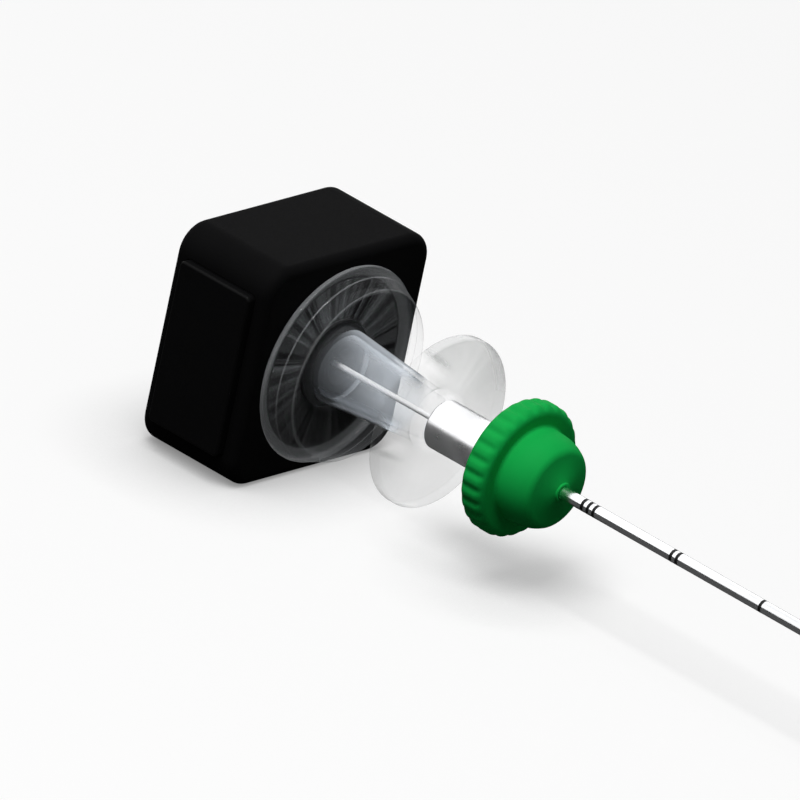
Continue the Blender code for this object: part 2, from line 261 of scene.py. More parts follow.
# Cover of the cone. The crescent is a painted highlight line on its far wall near the base, with a painted
# shadow line beside it
milk_places = (1.5, 5.0)
milk_covers = (0.068, 0.185)
milk_glow = (3.0, 1.5)
milk_end = (7.6, 9.2)
milk_end_share = 0.09
milk_start = (1.06, 1.12)
milk_start_share = 0.05
far_wall_soft = 0.1
crescent_start = (0.95, 1.0)
crescent_end = (1.52, 1.56)
crescent_highlight_cover = 0.40
crescent_shadow = (1.72, 0.4, 0.15)

# Cover of the bell flange. Heights are those of a direction from the axis, from -1 to 1
bell_soft = 0.5
bell_radii = (2.8, 7.6)
bell_covers = (0.15, 0.22)
bell_cloud = (0.35, 0.65)
bell_cloud_shares = (0.85, 1.15)
# Cover rises towards the top, darkening the upper side more than the lower: painted shade
bell_shade_heights = (-0.7, 0.5)
bell_shade_shares = (0.42, 1.15)
bell_rim_radii = (7.45, 7.75)
bell_rim_cover = 0.05
bell_glow = (5.0, 0.5)
bell_least = 0.01
# Each crease is painted shade along a line, with painted highlight beside it
crease_painted_shade = (0.0, 0.8, 0.15)
crease_painted_highlight = (-1.0, 1.8, 0.18)
crease_start = (-0.2, 0.2)
crease_end = (1.2, 5.0)
sector_margins = (3.0, -6.0)
sector_share = 0.2


def edge(node, side, axis="x"):
    """One side of a CAD node's box, in millimetres."""
    return getattr(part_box(node)[side], axis) / MM


def arc(centre, radius, start, end, steps=ARC_STEPS):
    """Points of an arc in the (x, r) half plane, angles in degrees from +X."""
    points = []
    for step in range(steps + 1):
        angle = math.radians(start + (end - start) * step / steps)
        points.append((centre[0] + radius * math.cos(angle), centre[1] + radius * math.sin(angle)))
    return points


def soft_corner(before, corner, after, steps=ARC_STEPS):
    """Points that round a corner of an outline, from a point before it to a point after it."""
    points = []
    for step in range(steps + 1):
        share = step / steps
        weights = ((1 - share) ** 2, 2 * share * (1 - share), share ** 2)
        points.append(tuple(sum(weight * point[i] for weight, point in zip(weights, (before, corner, after)))
                            for i in range(2)))
    return points


def turned(outline, segments=ROUND):
    """Spin a closed outline of (x, r) points about the X axis."""
    bm = bmesh.new()
    ring = [bm.verts.new((x, 0.0, r)) for x, r in outline]
    for first, second in zip(ring, ring[1:] + ring[:1]):
        bm.edges.new((first, second))
    bmesh.ops.spin(bm, geom=bm.verts[:] + bm.edges[:], cent=(0, 0, 0), axis=(1, 0, 0),
                   angle=2 * math.pi, steps=segments, use_merge=True)
    bmesh.ops.remove_doubles(bm, verts=bm.verts, dist=merge_distance)
    bmesh.ops.dissolve_degenerate(bm, edges=bm.edges, dist=tiny_edge)
    return bm


def turned_ring(start, end, inner, outer, segments=ROUND):
    """A plain square-cut ring or tube."""
    return turned([(start, inner), (start, outer), (end, outer), (end, inner)], segments)


def rounded_rectangle(width, height, radius):
    """Corner points of a rounded rectangle, counterclockwise."""
    points = []
    for side_u, side_v, start in ((1, 1, 0), (-1, 1, 90), (-1, -1, 180), (1, -1, 270)):
        centre = (side_u * (width / 2 - radius), side_v * (height / 2 - radius))
        points.extend(arc(centre, radius, start, start + 90))
    return points


def prism(outline, start, end, across="X"):
    """Extrude a flat outline along X, or along Y, from start to end."""
    bm = bmesh.new()
    if across == "X":
        corners = [bm.verts.new((start, u, v)) for u, v in outline]
        travel = Vector((end - start, 0, 0))
    else:
        corners = [bm.verts.new((u, start, v)) for u, v in outline]
        travel = Vector((0, end - start, 0))
    face = bm.faces.new(corners)
    raised = bmesh.ops.extrude_face_region(bm, geom=[face])
    moved = [item for item in raised["geom"] if isinstance(item, bmesh.types.BMVert)]
    bmesh.ops.translate(bm, verts=moved, vec=travel)
    return bm


def square_plate(side, corner, start, end):
    """A square plate across the needle's axis, with round corners."""
    return prism(rounded_rectangle(side, side, corner), start, end)


def add_object(name, bm, material=None):
    """Turn a bmesh in millimetres into an object with smooth shading and crisp edges."""
    bmesh.ops.scale(bm, vec=(MM, MM, MM), verts=bm.verts)
    bmesh.ops.recalc_face_normals(bm, faces=bm.faces)
    mesh = bpy.data.meshes.new(name)
    bm.to_mesh(mesh)
    bm.free()
    mesh.shade_smooth()
    mesh.set_sharp_from_angle(angle=math.radians(crisp_angle))
    if material:
        mesh.materials.append(material)
    made = bpy.data.objects.new(name, mesh)
    bpy.context.scene.collection.objects.link(made)
    return made


def round_edges(target, width, segments):
    """Round the crisp edges of an object."""
    bevel = target.modifiers.new("edge_round", "BEVEL")
    bevel.width = width * MM
    bevel.segments = segments
    bevel.limit_method = "ANGLE"
    bevel.angle_limit = math.radians(bevel_angle)


def combine(target, tool, operation):
    """Cut a hidden tool object out of the target, or join it on, and drop the tool."""
    boolean = target.modifiers.new(tool.name, "BOOLEAN")
    boolean.operation = operation
    boolean.object = tool
    boolean.solver = "EXACT"
    settle(target)
    bpy.data.objects.remove(tool, do_unlink=True)


def settle(target):
    """Apply an object's modifiers to its mesh."""
    bpy.context.view_layer.update()
    evaluated = target.evaluated_get(bpy.context.evaluated_depsgraph_get())
    mesh = bpy.data.meshes.new_from_object(evaluated)
    target.modifiers.clear()
    target.data = mesh


def even_normals(target):
    """Let the large flat faces set the shading of the rounds beside them."""
    target.data.shade_smooth()
    target.data.set_sharp_from_angle(angle=math.radians(crisp_solid_angle))
    weighted = target.modifiers.new("even_normals", "WEIGHTED_NORMAL")
    weighted.keep_sharp = True


def dress(piece, body, node):
    """Put a fine piece on its body, in place of its CAD node."""
    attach(piece, body)
    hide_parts(node)


def add_node(tree, kind, inputs=None, **settings):
    """Add a shader node. An input is a value, or the socket that feeds it."""
    made = tree.nodes.new("ShaderNode" + kind)
    for name, value in settings.items():
        setattr(made, name, value)
    for key, value in (inputs or {}).items():
        set_input(tree, made.inputs[key], value)
    return made


def set_input(tree, socket, value):
    """Give an input a value, or link it to the socket that feeds it."""
    if isinstance(value, bpy.types.NodeSocket):
        tree.links.new(value, socket)
    else:
        socket.default_value = value


def feed(tree, shader, **inputs):
    """Set or link a shader's inputs, with underscores for spaces."""
    for key, value in inputs.items():
        set_input(tree, shader.inputs[key.replace("_", " ")], value)


def maths(tree, operation, first, second=0.0):
    """One Math node's result."""
    return add_node(tree, "Math", {0: first, 1: second}, operation=operation).outputs[0]


def total(tree, first, *others):
    """The sum of values."""
    for value in others:
        first = maths(tree, "ADD", first, value)
    return first


def product(tree, first, *others):
    """The product of values."""
    for value in others:
        first = maths(tree, "MULTIPLY", first, value)
    return first


def vector_maths(tree, operation, first, second=(0, 0, 0), output="Vector"):
    """One Vector Math node's result."""
    return add_node(tree, "VectorMath", {0: first, 1: second}, operation=operation).outputs[output]


def noise(tree, vector, scale, detail=3.0, roughness=0.5):
    """A noise texture's value, about 0.5 on average."""
    return add_node(tree, "TexNoise", {"Vector": vector, "Scale": scale, "Detail": detail,
                                       "Roughness": roughness}).outputs["Fac"]


def ramp(tree, value, places, results):
    """Map a value smoothly from between two places to between two results, clamped beyond them."""
    return add_node(tree, "MapRange", {"Value": value, "From Min": places[0], "From Max": places[1],
                                       "To Min": results[0], "To Max": results[1]},
                    interpolation_type="SMOOTHSTEP").outputs["Result"]


def vary(tree, grain, low, high):
    """Map a noise texture's value to a range of a finish."""
    return ramp(tree, grain, noise_range, (low, high))


def band(tree, value, middle, width, strength):
    """A soft band of a value: strength at its middle and 0 beyond its width."""
    away = maths(tree, "ABSOLUTE", maths(tree, "SUBTRACT", value, middle))
    return ramp(tree, away, (0.0, width / 2), (strength, 0.0))


def tint(tree, factor, tones):
    """A colour between two tones, each a colour or the socket that feeds it."""
    low, high = (tone if isinstance(tone, bpy.types.NodeSocket) else (*tone, 1.0) for tone in tones)
    return add_node(tree, "Mix", {"Factor": factor, 6: low, 7: high}, data_type="RGBA").outputs[2]


def bump(tree, height, strength, distance):
    """A bump normal from a height value, distance in millimetres."""
    return add_node(tree, "Bump", {"Height": height, "Strength": strength,
                                   "Distance": distance * MM}).outputs["Normal"]


def edge_glow(tree, power, strength):
    """A value that rises where a surface is seen edge on."""
    facing = add_node(tree, "LayerWeight", {"Blend": 0.5}).outputs["Facing"]
    return product(tree, maths(tree, "POWER", facing, power), strength)


def point_on_piece(tree):
    """Object coordinates in millimetres."""
    return vector_maths(tree, "MULTIPLY", add_node(tree, "TexCoord").outputs["Object"], (1 / MM,) * 3)


def place_on_needle(tree):
    """The point in millimetres, its place along the needle, its radius and its direction from the axis."""
    point = point_on_piece(tree)
    parts = add_node(tree, "SeparateXYZ", {0: point})
    across = add_node(tree, "CombineXYZ", {1: parts.outputs[1], 2: parts.outputs[2]}).outputs[0]
    along = maths(tree, "SUBTRACT", parts.outputs[0], front)
    radius = vector_maths(tree, "LENGTH", across, output="Value")
    return point, along, radius, vector_maths(tree, "NORMALIZE", across)


def height_of(tree, direction):
    """How far a direction from the axis points up, from -1 to 1."""
    return add_node(tree, "SeparateXYZ", {0: direction}).outputs[2]


def new_material(name):
    """A material, its node tree and its Principled shader."""
    material = bpy.data.materials.new(name)
    material.use_nodes = True
    tree = material.node_tree
    return material, tree, tree.nodes["Principled BSDF"]


def moulded_black(name, tones, grain_scale, roughness, shine):
    """Black moulded plastic with a fine eroded grain."""
    material, tree, shader = new_material(name)
    point = point_on_piece(tree)
    grain = noise(tree, point, grain_scale, detail=2.0, roughness=0.6)
    feed(tree, shader, Base_Color=tint(tree, noise(tree, point, scale=0.35), tones),
         Roughness=vary(tree, grain, roughness - black_spread, roughness + black_spread),
         Specular_IOR_Level=shine, Normal=bump(tree, grain, strength=0.35, distance=0.012))
    return material


def green_plastic(name):
    """Satin green plastic."""
    material, tree, shader = new_material(name)
    point = point_on_piece(tree)
    grain = noise(tree, point, scale=14.0)
    feed(tree, shader, Base_Color=tint(tree, noise(tree, point, scale=0.5), green_tones),
         Roughness=vary(tree, grain, *green_roughness), Specular_IOR_Level=0.02,
         Normal=bump(tree, grain, strength=0.15, distance=0.01))
    return material


def steel(name, tones, roughness, line_scale, metallic=1.0):
    """Drawn steel with faint lines along the needle."""
    material, tree, shader = new_material(name)
    point = point_on_piece(tree)
    stretched = vector_maths(tree, "MULTIPLY", point, line_stretch)
    lines = noise(tree, stretched, line_scale, detail=4.0, roughness=0.6)
    cloud = noise(tree, point, scale=0.8, detail=2.0)
    feed(tree, shader, Metallic=metallic, Base_Color=tint(tree, lines, tones), Specular_IOR_Level=1.0,
         Roughness=vary(tree, cloud, roughness * (1 - steel_spread), roughness * (1 + steel_spread)),
         Normal=bump(tree, lines, strength=0.05, distance=0.003))
    return material


def plain_finish(name, tones, roughness, metallic=0.0):
    """A simple moulded or turned finish for the small inner pieces."""
    material, tree, shader = new_material(name)
    grain = noise(tree, point_on_piece(tree), scale=6.0, detail=4.0)
    feed(tree, shader, Base_Color=tint(tree, grain, tones), Metallic=metallic,
         Roughness=vary(tree, grain, *(roughness + change for change in plain_spread)),
         Normal=bump(tree, grain, strength=0.2, distance=0.008))
    return material


def painted_reflection_streaks(tree, along, radius, direction):
    """Cover of the flange's back: painted reflection streaks in its floor, fainter at the bottom as painted
    shade, and a plain rim.
    """
    painted_rays = streak_least
    for scale, threshold, strength in streak_layers:
        cells = add_node(tree, "TexVoronoi", {"Vector": direction, "Scale": scale}).outputs["Color"]
        sides = (threshold - streak_soft, threshold + streak_soft)
        painted_rays = total(tree, painted_rays, ramp(tree, cells, sides, (0.0, strength)))
    start = (washer_room - streak_start_soft, washer_room + streak_start_soft)
    end = (streak_radius - streak_end_soft, streak_radius)
    # Fainter streaks low down: painted shade
    height = height_of(tree, direction)
    painted_rays = product(tree, painted_rays, ramp(tree, height, streak_shade_heights, (streak_shaded_share, 1.0)),
                   ramp(tree, radius, start, (0.0, 1.0)), ramp(tree, radius, end, (1.0, 0.0)))
    cover = total(tree, painted_rays, ramp(tree, radius, end, (0.0, streak_rim_cover)))
    return product(tree, cover, ramp(tree, along, back_face_depth, (1.0, 0.0)))


def painted_rim_highlights(tree, along, radius):
    """Cover of the flange's rim: painted highlight lines round it, at its root, and at the end of its lip."""
    lines = total(tree, band(tree, along, *rim_highlight_line), ramp(tree, along, rim_root, (rim_root_highlight, 0.0)))
    outside = ramp(tree, radius, (lip_radius - rim_soft, lip_radius), (0.0, 1.0))
    lip_radii = [lip_radius - inside for inside in lip_line_inside]
    lip = product(tree, ramp(tree, along, lip_line, (0.0, lip_line_highlight)),
                  ramp(tree, radius, lip_radii, (0.0, 1.0)))
    return total(tree, product(tree, lines, outside), lip)


def clear_flange(name):
    """Clear dished ring with painted reflection streaks in its floor and painted highlight lines at its edges.
    """
    material, tree, shader = new_material(name)
    point, along, radius, direction = place_on_needle(tree)
    floor = ramp(tree, radius, (washer_room, washer_room + washer_soft), washer_covers)
    walls = product(tree, ramp(tree, radius, wall_radii, (wall_least_share, 1.0)),
                    edge_glow(tree, *wall_glow))
    cover = total(tree, painted_reflection_streaks(tree, along, radius, direction), floor,
                  painted_rim_highlights(tree, along, radius), walls)
    ripple = noise(tree, point, scale=0.5, detail=2.0)
    feed(tree, shader, Base_Color=tint(tree, ripple, flange_tones),
         Roughness=vary(tree, noise(tree, point, scale=3.0), *clear_roughness),
         Specular_IOR_Level=0.6, Alpha=cover, Normal=bump(tree, ripple, strength=0.2, distance=0.04))
    return material


def at_angle(radius, degrees):
    """The point at a radius from the needle's axis and an angle round it."""
    return Vector((0, radius * math.cos(math.radians(degrees)), radius * math.sin(math.radians(degrees))))


def painted_crease(tree, point, angle, lean):
    """A soft fold painted on the bell flange, from a pinch at its rim inwards: painted shade on its line,
    painted highlight beside it.
    """
    start = at_angle(edge("hub_body", HIGH, "z"), angle)
    line = (at_angle(pinch_reach, angle + lean) - start).normalized()
    side = Vector((0, -line.z, line.y)) * (-1 if lean > 0 else 1)
    offset = vector_maths(tree, "SUBTRACT", point, start)
    across, down = (vector_maths(tree, "DOT_PRODUCT", offset, way, output="Value") for way in (side, line))
    painted_fold = maths(tree, "SUBTRACT", band(tree, across, *crease_painted_shade), band(tree, across, *crease_painted_highlight))
    return product(tree, painted_fold, ramp(tree, down, crease_end, (1.0, 0.0)),
                   ramp(tree, down, crease_start, (0.0, 1.0)))


def bell_cover(tree, point, radius, direction):
    """How much the bell flange covers: clearer between its two pinches, with a painted fold of shade and
    highlight from each.
    """
    cloud = noise(tree, direction, scale=1.6, detail=2.0, roughness=0.6)
    # Heavier cover towards the top: painted shade
    cover = product(tree, ramp(tree, radius, bell_radii, bell_covers),
                    ramp(tree, cloud, bell_cloud, bell_cloud_shares),
                    ramp(tree, height_of(tree, direction), bell_shade_heights, bell_shade_shares))
    cover = total(tree, cover, ramp(tree, radius, bell_rim_radii, (0.0, bell_rim_cover)),
                  edge_glow(tree, *bell_glow),
                  painted_crease(tree, point, pinch_middle - pinch_half, -pinch_lean),
                  painted_crease(tree, point, pinch_middle + pinch_half, pinch_lean))
    nearness = vector_maths(tree, "DOT_PRODUCT", direction, at_angle(1.0, pinch_middle), output="Value")
    limits = [math.cos(math.radians(pinch_half + margin)) for margin in sector_margins]
    cover = product(tree, cover, ramp(tree, nearness, limits, (1.0, sector_share)))
    return maths(tree, "MAXIMUM", cover, bell_least)


def cone_cover(tree, along, radius):
    """How much the cone covers: milky along its middle, with a crescent of painted highlight and painted
    shadow on its far wall.
    """
    cover = total(tree, ramp(tree, along, milk_places, milk_covers), edge_glow(tree, *milk_glow))
    cover = product(tree, cover, ramp(tree, along, milk_end, (1.0, milk_end_share)),
                    ramp(tree, along, milk_start, (milk_start_share, 1.0)))
    bore = cone_base - cone_wall
    facing_in = maths(tree, "SUBTRACT", 1.0, add_node(tree, "NewGeometry").outputs["Backfacing"])
    far_wall = product(tree, facing_in, ramp(tree, radius, (bore, bore + far_wall_soft), (1.0, 0.0)))
    # Painted highlight line on the far wall near the base, with a painted shadow line beside it
    crescent_highlight = product(tree, ramp(tree, along, crescent_start, (0.0, crescent_highlight_cover)),
                    ramp(tree, along, crescent_end, (1.0, 0.0)))
    painted_crescent = maths(tree, "SUBTRACT", crescent_highlight, band(tree, along, *crescent_shadow))
    return total(tree, cover, product(tree, far_wall, painted_crescent))


def clear_hub(name):
    """Clear milky cone, thinner in look at its base, and the paler bell flange at its front."""
    material, tree, shader = new_material(name)
    point, along, radius, direction = place_on_needle(tree)
    ripple = noise(tree, point, scale=0.5, detail=2.0)
    bell_share = product(tree, ramp(tree, along, (bell_back - bell_fillet, bell_back), (0.0, 1.0)),
                         ramp(tree, radius, (cone_nose, cone_nose + bell_soft), (0.0, 1.0)))
    covers = {"Factor": bell_share, "A": cone_cover(tree, along, radius),
              "B": bell_cover(tree, point, radius, direction)}
    colours = (tint(tree, ripple, cone_tones), tint(tree, ripple, bell_tones))
    feed(tree, shader, Base_Color=tint(tree, bell_share, colours),
         Roughness=vary(tree, noise(tree, point, scale=3.0), *clear_roughness), Specular_IOR_Level=0.8,
         Alpha=add_node(tree, "Mix", covers, data_type="FLOAT").outputs[0],
         Normal=bump(tree, ripple, strength=0.25, distance=0.05))
    return material


def pad_block(node, sign, margin, reach):
    """A pad's block, grown by a margin, from its inner side out to a reach from the axis."""
    low, high = edge(node, LOW), edge(node, HIGH)
    near = min(abs(edge(node, side, "y")) for side in (LOW, HIGH))
    outline = rounded_rectangle(high - low + 2 * margin, 2 * edge(node, HIGH, "z") + 2 * margin,
                                pad_corner + margin)
    return prism([(u + (low + high) / 2, v) for u, v in outline], sign * near, sign * reach, "Y")


def grip_pads(material):
    """Raised pads in the handle's two sides."""
    for name, sign in pad_sides:
        node = "grip_pad_" + name
        reach = max(abs(edge(node, side, "y")) for side in (LOW, HIGH))
        pad = add_object("pad_" + name, pad_block(node, sign, 0.0, reach), material)
        round_edges(pad, pad_round, segments=5)
        settle(pad)
        even_normals(pad)
        dress(pad, "stylet", node)


def dished_spigot():
    """Spigot on the handle's front, dished round the rod."""
    end = edge("handle_shell", HIGH)
    return turned([(front - spigot_root, rod_hole), (front - spigot_root, spigot_radius),
                   (end - spigot_chamfer, spigot_radius), (end, spigot_radius - spigot_chamfer),
                   (end, dish_radius), (front + dish_floor, rod_hole + dish_foot),
                   (front + dish_floor, rod_hole)], SMALL)


def handle_shell(material):
    """Square moulding with a rebate for the cover, pockets for the pads, and the spigot."""
    half = edge("handle_shell", HIGH, "z")
    shell = add_object("shell_moulding", square_plate(2 * half, handle_corner, 0, front), material)
    round_edges(shell, handle_round, segments=8)
    settle(shell)
    room = 2 * edge("handle_cover", HIGH, "z") + 2 * cover_seam
    rebate = square_plate(room, cover_corner + cover_seam, -cut_past, cover_rebate)
    combine(shell, add_object("rebate_cut", rebate), "DIFFERENCE")
    for name, sign in pad_sides:
        pocket = pad_block("grip_pad_" + name, sign, pocket_gap, half + cut_past)
        combine(shell, add_object("pocket_cut", pocket), "DIFFERENCE")
    combine(shell, add_object("spigot_join", dished_spigot()), "UNION")
    even_normals(shell)
    dress(shell, "stylet", "handle_shell")


def handle_cover(material):
    """Plain cover pressed into the handle's back."""
    plate = square_plate(2 * edge("handle_cover", HIGH, "z"), cover_corner, 0.0, cover_rebate - cover_gap)
    cover = add_object("back_cover", plate, material)
    round_edges(cover, cover_seam, segments=3)
    settle(cover)
    even_normals(cover)
    dress(cover, "stylet", "handle_cover")


def seat_washer(material):
    """Soft washer round the spigot."""
    inner, outer = spigot_radius + washer_clearance, edge("seat_washer", HIGH, "z")
    ring = turned_ring(edge("seat_washer", LOW), edge("seat_washer", HIGH), inner, outer)
    washer = add_object("soft_washer", ring, material)
    round_edges(washer, washer_round, segments=3)
    dress(washer, "stylet", "seat_washer")


def flange_outline():
    """Section of the dished ring."""
    rim = edge("hub_flange", HIGH, "z")
    start, lip_end = edge("hub_flange", LOW) - front, edge("hub_flange", HIGH) - front
    wall = lip_wall / 2
    foot = lip_radius - lip_wall - lip_foot
    outline = [(washer_level, flange_bore), (washer_level, washer_room), (start, washer_room)]
    outline += arc((start + rim_round, rim - rim_round), rim_round, 180, 90)
    outline += arc((rim_height, rim - rim_step - rim_step_round), rim_step_round,
                   90, rim_step_end, EDGE_STEPS)
    outline += arc((lip_end - wall, lip_radius - wall), wall, lip_lean, -90)
    outline += arc((flange_floor + flange_fillet, foot - flange_fillet), flange_fillet, 90, 180)
    outline += [(flange_floor, flange_bore)]
    return outline


def hub_outline():
    """Section of the cone, the bell flange and the spud."""
    rim, end = edge("hub_body", HIGH, "z"), edge("hub_body", HIGH) - front
    web_front = edge("barrel", LOW) - front - barrel_gap
    web_back = web_front - web_thickness
    outline = [(washer_level, cone_base), (cone_start, cone_base)]
    outline += arc((web_back - bell_fillet, cone_nose + bell_fillet), bell_fillet, -90, bell_fillet_end)
    outline += arc((bell_back + bell_round, rim - bell_round), bell_round, 180, 90, BELL_STEPS)
    outline += arc((bell_front - bell_round, rim - bell_round), bell_round, 90, 0, BELL_STEPS)
    outline += [(web_front, cone_nose), (web_front, spud_radius), (end - barrel_edge, spud_radius),
                (end, spud_radius - barrel_edge), (end, spud_bore), (web_back, spud_bore),
                (web_back - cone_wall, cone_nose - cone_wall), (cone_start, cone_base - cone_wall),
                (washer_level, cone_base - cone_wall)]
    return outline


def clear_pieces(flange_clear, body_clear):
    """Dished flange, and the hollow cone with its bell flange, too clear to cast a shadow."""
    for name, outline, material, node in (("dished_ring", flange_outline(), flange_clear, "hub_flange"),
                                          ("hub_moulding", hub_outline(), body_clear, "hub_body")):
        piece = add_object(name, turned([(front + x, r) for x, r in outline]), material)
        piece.visible_shadow = False
        dress(piece, "cannula_unit", node)


def barrel(material):
    """Polished barrel, stepped inside for the spud and the cannula's bush."""
    back, end = edge("barrel", LOW), edge("barrel", HIGH)
    outer = edge("barrel", HIGH, "z")
    socket_end = edge("hub_body", HIGH) + barrel_gap
    outline = [(back, barrel_socket)]
    outline += arc((back + barrel_edge, outer - barrel_edge), barrel_edge, 180, 90, EDGE_STEPS)
    outline += arc((end - barrel_edge, outer - barrel_edge), barrel_edge, 90, 0, EDGE_STEPS)
    outline += [(end, barrel_bore), (socket_end, barrel_bore), (socket_end, barrel_socket)]
    tube = add_object("steel_barrel", turned(outline), material)
    dress(tube, "cannula_unit", "barrel")


def cannula(material):
    """Steel tube with a tapered tip."""
    start, tip = edge("cannula", LOW), edge("cannula", HIGH)
    tube = edge("cannula", HIGH, "z")
    outline = [(start, cannula_bore), (start, tube), (tip - cannula_taper, tube),
               (tip, cannula_bore + cannula_tip_wall), (tip, cannula_bore)]
    needle = add_object("needle_tube", turned(outline, SMALL), material)
    dress(needle, "cannula_unit", "cannula")


def ring_marks(ink):
    """Black ring marks round the cannula."""
    tube = edge("cannula", HIGH, "z")
    rings = bmesh.new()
    for place in ring_places:
        start, end = front + place - ring_width / 2, front + place + ring_width / 2
        wrap = turned_ring(start, end, tube - ring_sink, tube + ring_proud, SMALL)
        mesh = bpy.data.meshes.new("ring")
        wrap.to_mesh(mesh)
        wrap.free()
        rings.from_mesh(mesh)
        bpy.data.meshes.remove(mesh)
    marks = add_object("depth_rings", rings, ink)
    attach(marks, "cannula_unit")


def stylet_rod(material):
    """Thin rod with a point of flat facets."""
    start, end = edge("stylet_rod", LOW), edge("stylet_rod", HIGH)
    radius = edge("stylet_rod", HIGH, "z")
    rod = turned([(start, 0), (start, radius), (end, radius), (end, 0)], SMALL)
    for facet in range(rod_facets):
        turn = Matrix.Rotation(2 * math.pi * facet / rod_facets, 4, "X")
        slope = turn @ Vector((radius, 0, rod_point)).normalized()
        cut = bmesh.ops.bisect_plane(rod, geom=rod.verts[:] + rod.edges[:] + rod.faces[:],
                                     plane_co=(end, 0, 0), plane_no=slope, clear_outer=True)
        rim = [item for item in cut["geom_cut"] if isinstance(item, bmesh.types.BMEdge)]
        bmesh.ops.holes_fill(rod, edges=rim)
    dress(add_object("stylet_wire", rod, material), "stylet", "stylet_rod")


def nose_outline(rim_front, tip):
    """The nose's side as a power curve, and the soft corner to its shallow conical front."""
    side = []
    for step in range(NOSE_CORNER_STEPS, NOSE_STEPS + 1):
        share = step / NOSE_STEPS
        side.append((rim_front + nose_start + share * nose_length,
                     nose_radius - (nose_radius - nose_edge_radius) * share ** nose_power))
    corner, collar = side[-1], (tip, collar_radius)
    after = [corner[i] + nose_front_start * (collar[i] - corner[i]) for i in range(2)]
    before = side[-NOSE_CORNER_STEPS]
    return side[:-NOSE_CORNER_STEPS] + soft_corner(before, corner, after)


def knob_outline(rim):
    """Section of the knob: its rim, its rounded nose and the room for the barrel and the collet."""
    back, end = edge("stop_knob", LOW), edge("stop_knob", HIGH)
    rim_front = back + knob_rim_width
    tip = rim_front + nose_tip
    collar_front = tip + collar_height
    outline = [(back, counterbore)]
    outline += arc((back + knob_rim_round, rim - knob_rim_round), knob_rim_round, 180, 90, RIM_STEPS)
    outline += arc((rim_front - knob_rim_round, rim - knob_rim_round), knob_rim_round, 90, 0, RIM_STEPS)
    outline += arc((rim_front + nose_fillet, nose_radius + nose_fillet), nose_fillet, 180, 270, FILLET_STEPS)
    outline += nose_outline(rim_front, tip)
    outline += arc((tip + collar_fillet, collar_radius + collar_fillet), collar_fillet,
                   collar_fillet_start, 270, EDGE_STEPS)
    outline += arc((collar_front - collar_round, collar_radius - collar_round), collar_round,
                   90, 0, EDGE_STEPS)
    outline += [(collar_front, exit_hole + exit_chamfer), (collar_front - exit_chamfer, exit_hole)]
    floor = back + counterbore_depth
    room = edge("stop_collet", HIGH, "z") + collet_clearance
    outline += [(end - seat_wall, exit_hole), (end - seat_wall, seat_radius), (floor + collet_room, room),
                (floor, room), (floor, counterbore)]
    return outline


def knurl(knob, rim):
    """Sink rounded scallops into the knob's rim."""
    floor = rim - knob_scallop_fade * knob_scallop_depth
    for vert in knob.verts:
        radius = math.hypot(vert.co.y, vert.co.z)
        if radius > floor:
            share = min((radius - floor) / (rim - floor), 1.0)
            angle = math.atan2(vert.co.z, vert.co.y)
            valley = ((1 - math.cos(knob_scallops * angle)) / 2) ** knob_valley_power
            sink = share * knob_scallop_depth * valley
            vert.co.y *= 1 - sink / radius
            vert.co.z *= 1 - sink / radius


def stop_knob(material):
    """Knurled knob with its rounded nose."""
    rim = edge("stop_knob", HIGH, "z")
    knob = turned(knob_outline(rim), KNURL)
    knurl(knob, rim)
    dress(add_object("knurled_knob", knob, material), "stop_knob_unit", "stop_knob")


def stop_retainer(material):
    """Ring pressed into the knob's back."""
    inner, outer = exit_hole + retainer_gap, edge("stop_retainer", HIGH, "z")
    ring = turned_ring(edge("stop_retainer", LOW), edge("stop_retainer", HIGH), inner, outer)
    retainer = add_object("retainer_ring", ring, material)
    round_edges(retainer, retainer_round, segments=3)
    dress(retainer, "stop_knob_unit", "stop_retainer")


def inner_pieces(white, brass):
    """Finishes of the CAD nodes that stay as they are."""
    for node, material in (("stylet_anchor", brass), ("guide_funnel", brass), ("anchor_plug", white),
                           ("barrel_bush", white), ("stop_collet", white)):
        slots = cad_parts[node].material_slots
        slots[0].material = material


def light_paths(tree):
    """1 for rays from the camera, from shiny and from clear surfaces, else 0."""
    path = add_node(tree, "LightPath")
    seen = maths(tree, "MAXIMUM", path.outputs["Is Camera Ray"], path.outputs["Is Glossy Ray"])
    return maths(tree, "MAXIMUM", seen, path.outputs["Is Transmission Ray"])


def stage_material(name):
    """A material without a shader, its node tree and its surface input."""
    material = bpy.data.materials.new(name)
    material.use_nodes = True
    tree = material.node_tree
    tree.nodes.remove(tree.nodes["Principled BSDF"])
    return material, tree, tree.nodes["Material Output"].inputs["Surface"]


def grey(level):
    """An opaque grey of a level, where 1 is white."""
    return (level, level, level, 1.0)


def flat_sheet(corners):
    """One flat face with the corners given."""
    bm = bmesh.new()
    bm.faces.new([bm.verts.new(corner) for corner in corners])
    return bm


